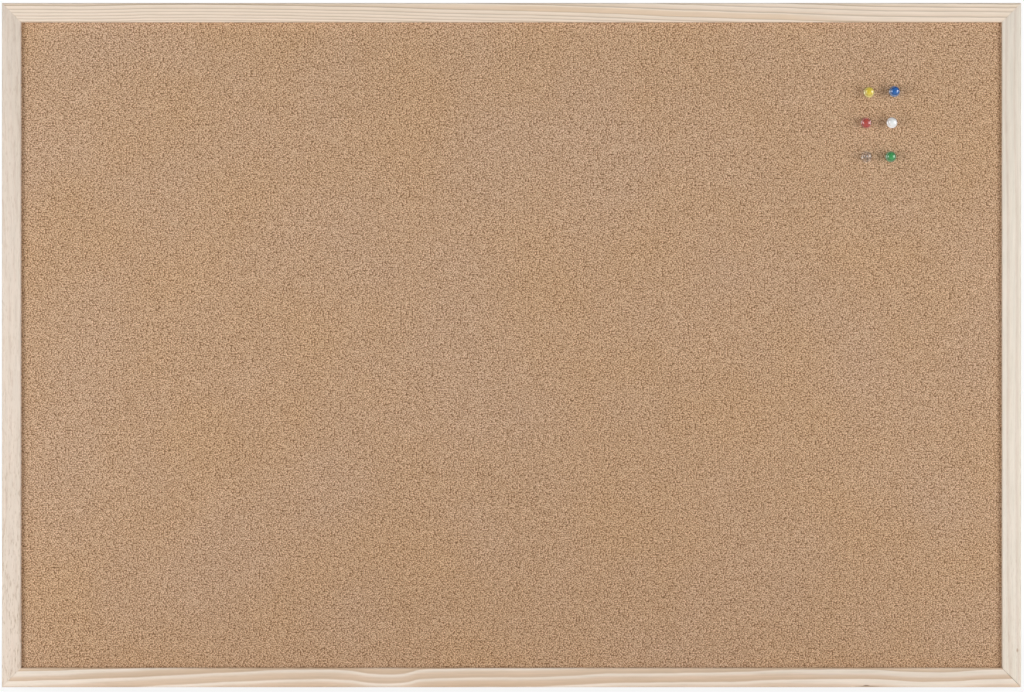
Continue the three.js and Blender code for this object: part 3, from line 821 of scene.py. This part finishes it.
def ringModel(lean):
    size = hanger
    side = size["inside"] / 2 + size["wire"]
    bend = size["bend"]
    straight = side - bend - size["butt"] / 2
    leg = size["reach"] - side - bend
    rest()
    bpy.ops.mesh.primitive_circle_add(
        vertices=size["wireSides"], radius=size["wire"] * mm, fill_type="NGON",
        location=(size["butt"] / 2 * mm, 0, 0), rotation=(0, math.pi / 2, 0))
    ring = bpy.context.object
    ring.name = "ring_model"
    settle(ring)
    edit(ring, "FACE")
    bpy.ops.mesh.select_all(action="SELECT")
    runs = [(straight, 0), (0, -leg), (0, leg), (straight, 0)]
    turns = [(side - bend, -bend, 90, size["bendSteps"]),
             (0, side - size["reach"], 180, size["archSteps"]),
             (bend - side, -bend, 90, size["bendSteps"])]
    for i, (x, z) in enumerate(runs):  # the wire from one butted end round to the other
        bpy.ops.mesh.extrude_region_move(TRANSFORM_OT_translate={"value": (x * mm, 0, z * mm)})
        if i < len(turns):
            x, z, angle, steps = turns[i]
            centre = (x * mm, 0, z * mm)
            bpy.ops.mesh.spin(steps=steps, angle=math.radians(angle), center=centre, axis=(0, -1, 0))
    tidyMesh(ring)
    ring.rotation_euler.x = lean
    settle(ring)
    smooth(ring, angle=50)
    return ring


def screwModel():
    size = hanger
    top = size["headHeight"]
    profile = [(0, -size["screwLength"]), (size["shank"], size["screwPoint"] - size["screwLength"]),
               (size["shank"], 0), (size["screwHead"], 0)]
    rim, corner = (size["screwHead"], size["headRim"]), (size["screwHead"], top)
    profile += bow(rim, corner, (0, top), size["domeSteps"])
    screw = turnedPiece("screw_model", profile, size["screwSides"])
    taper = size["crossTaper"]
    for wide, narrow in ((size["cross"], size["crossWidth"]), (size["crossWidth"], size["cross"])):
        bar = startBox("bar", (-wide / 2 * mm, -narrow / 2 * mm, (top - size["crossDepth"]) * mm),
                       (wide / 2 * mm, narrow / 2 * mm, (top + size["lift"]) * mm))
        pick(bar, "FACE", lambda mid, normal: normal.z < -0.9)
        bpy.ops.transform.resize(value=(taper, taper, 1), center_override=(0, 0, 0))
        combine(screw, bar)
    tidyMesh(screw)
    work(screw)
    screw.rotation_euler.x = -math.pi / 2  # the head faces +Y
    settle(screw)
    smooth(screw)
    return screw


def buildHangers():
    steel = steelFinish("plated")
    hinges = {joint["name"].split("_")[0]: Vector(joint["pos_m"]) for joint in frame["joints"]
              if joint["name"].endswith("ring_swing")}
    screwLow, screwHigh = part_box("left_hanger_screw")
    drop = hinges["left"].z - (screwLow.z + screwHigh.z) / 2
    screwPlace = Vector((0, screwHigh.y - hinges["left"].y - hanger["headHeight"] * mm, -drop))
    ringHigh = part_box("left_hanger_ring")[1]
    lean = math.asin((ringHigh.y - hinges["left"].y - hanger["wire"] * mm) / (hanger["reach"] * mm))
    models = {"strap": strapModel(drop / mm), "ring": ringModel(lean), "screw": screwModel()}
    for side, hinge in hinges.items():
        for part, model in models.items():
            piece = twin(model, f"{side}_{part}_fine")
            piece.location = hinge + screwPlace if part == "screw" else hinge
            settle(piece)
            standFor(piece, f"{side}_hanger_{part}", steel)
    for model in models.values():
        bpy.data.objects.remove(model)
    print("hangers made")


# studio: pale floor, white surround, soft lamps at both sides, in metres
studio = {
    "floorSize": 60, "floorGap": 0.05 * mm,
    "floorShade": 0.82, "floorSeen": 0.12, "floorGlow": 0.88, "farGlow": 1.0,
    "nearFloor": 0.7, "farFloor": 2.5,  # where the floor begins to turn white and where it is
    "surround": 0.05, "glossWhite": 0.35,  # light all round, and the white that reflections show
    "lampSide": 1.86, "lampFront": 1.8, "lampHeight": -0.15, "lampWidth": 1.35, "lampTall": 2.4,
    "softPower": 31.0, "backPower": 62, "backHeight": 2.3,
    "coreHeight": 0.15, "coreWidth": 0.55, "coreTall": 0.9, "corePower": 8.2,
}
cameraLook = {  # frameWidth is how much of the board's plane the picture shows
    "distance": 4.5, "frameWidth": 0.9038, "right": 0.0004, "up": -0.0008, "sensor": 36, "sight": 100,
}


def seenRays(tree):  # rays that show the background, in reflections only in part
    path = add(tree, "LightPath").outputs
    gloss = calc(tree, "MULTIPLY", path["Is Glossy Ray"], studio["glossWhite"])
    shown = calc(tree, "MAXIMUM", path["Is Camera Ray"], gloss)
    return calc(tree, "MAXIMUM", shown, path["Is Transmission Ray"])


def buildFloor():
    rest()
    height = cadBox[0].z - studio["floorGap"]
    bpy.ops.mesh.primitive_plane_add(size=studio["floorSize"], location=(0, 0, height))
    floor = bpy.context.object
    floor.name = "floor"
    settle(floor)
    finish, tree, shader = newFinish("pale_floor")
    tree.nodes.remove(shader)
    shade, shown = studio["floorShade"], studio["floorSeen"]
    plain = add(tree, "BsdfDiffuse", {"Color": (shade, shade, shade, 1)}).outputs[0]
    thin = add(tree, "BsdfDiffuse", {"Color": (shown, shown, shown, 1)}).outputs[0]
    spot = add(tree, "TexCoord").outputs["Object"]
    spot = add(tree, "VectorMath", {0: spot, 1: (1, 1, 0)}, operation="MULTIPLY").outputs[0]
    away = add(tree, "VectorMath", {0: spot}, operation="LENGTH").outputs["Value"]
    power = add(tree, "MapRange", {
        "Value": away, "From Min": studio["nearFloor"], "From Max": studio["farFloor"],
        "To Min": studio["floorGlow"], "To Max": studio["farGlow"]}).outputs[0]
    glow = add(tree, "Emission", {"Color": (1, 1, 1, 1), "Strength": power}).outputs[0]
    bright = add(tree, "AddShader", {0: thin, 1: glow}).outputs[0]
    mixed = add(tree, "MixShader", {0: seenRays(tree), 1: plain, 2: bright}).outputs[0]
    feed(tree, tree.nodes["Material Output"].inputs["Surface"], mixed)
    dress(floor, finish)
    floor.visible_shadow = False  # the lamps reach below it


def buildSurround():
    world = bpy.data.worlds.new("surround")
    bpy.context.scene.world = world
    world.use_nodes = True
    tree = world.node_tree
    soft = tree.nodes["Background"]
    soft.inputs["Color"].default_value = (1, 1, 1, 1)
    soft.inputs["Strength"].default_value = studio["surround"]
    white = add(tree, "Background", {"Color": (1, 1, 1, 1), "Strength": 1.0}).outputs[0]
    mixed = add(tree, "MixShader", {0: seenRays(tree), 1: soft.outputs[0], 2: white}).outputs[0]
    feed(tree, tree.nodes["World Output"].inputs["Surface"], mixed)


def addLamp(name, spot, wide, tall, power):
    lamp = bpy.data.lights.new(name, "AREA")
    lamp.shape = "RECTANGLE"
    lamp.size = wide
    lamp.size_y = tall
    lamp.energy = power
    holder = bpy.data.objects.new(name, lamp)
    bpy.context.scene.collection.objects.link(holder)
    holder.location = spot
    holder.rotation_euler = (-Vector(spot)).to_track_quat("-Z", "Y").to_euler()
    holder.visible_camera = False


def buildStudio():
    buildFloor()
    buildSurround()
    for way, name in ((-1, "left"), (1, "right")):
        side, front = way * studio["lampSide"], studio["lampFront"]
        wide, tall = studio["lampWidth"], studio["lampTall"]
        spot = (side, -front, studio["lampHeight"])
        addLamp(name + "_soft_lamp", spot, wide, tall, studio["softPower"])
        spot = (side, -front, studio["coreHeight"])
        addLamp(name + "_core_lamp", spot, studio["coreWidth"], studio["coreTall"], studio["corePower"])
        spot = (side, front, studio["backHeight"])
        addLamp(name + "_back_lamp", spot, wide, tall, studio["backPower"])
    print("studio set")


def placeCamera():
    look = cameraLook
    camera = bpy.data.cameras.new("camera")
    camera.sensor_width = look["sensor"]
    camera.lens = look["sensor"] * look["distance"] / look["frameWidth"]
    camera.clip_end = look["sight"]
    eye = bpy.data.objects.new("camera", camera)
    bpy.context.scene.collection.objects.link(eye)
    eye.location = (look["right"], -moulding["depth"] - look["distance"], look["up"])
    eye.rotation_euler = (math.pi / 2, 0, 0)
    bpy.context.scene.camera = eye
    bpy.context.scene.view_settings.view_transform = "Standard"
    print("camera placed")


buildMouldings()
dressPanel()
buildPins()
buildHangers()
buildStudio()
placeCamera()
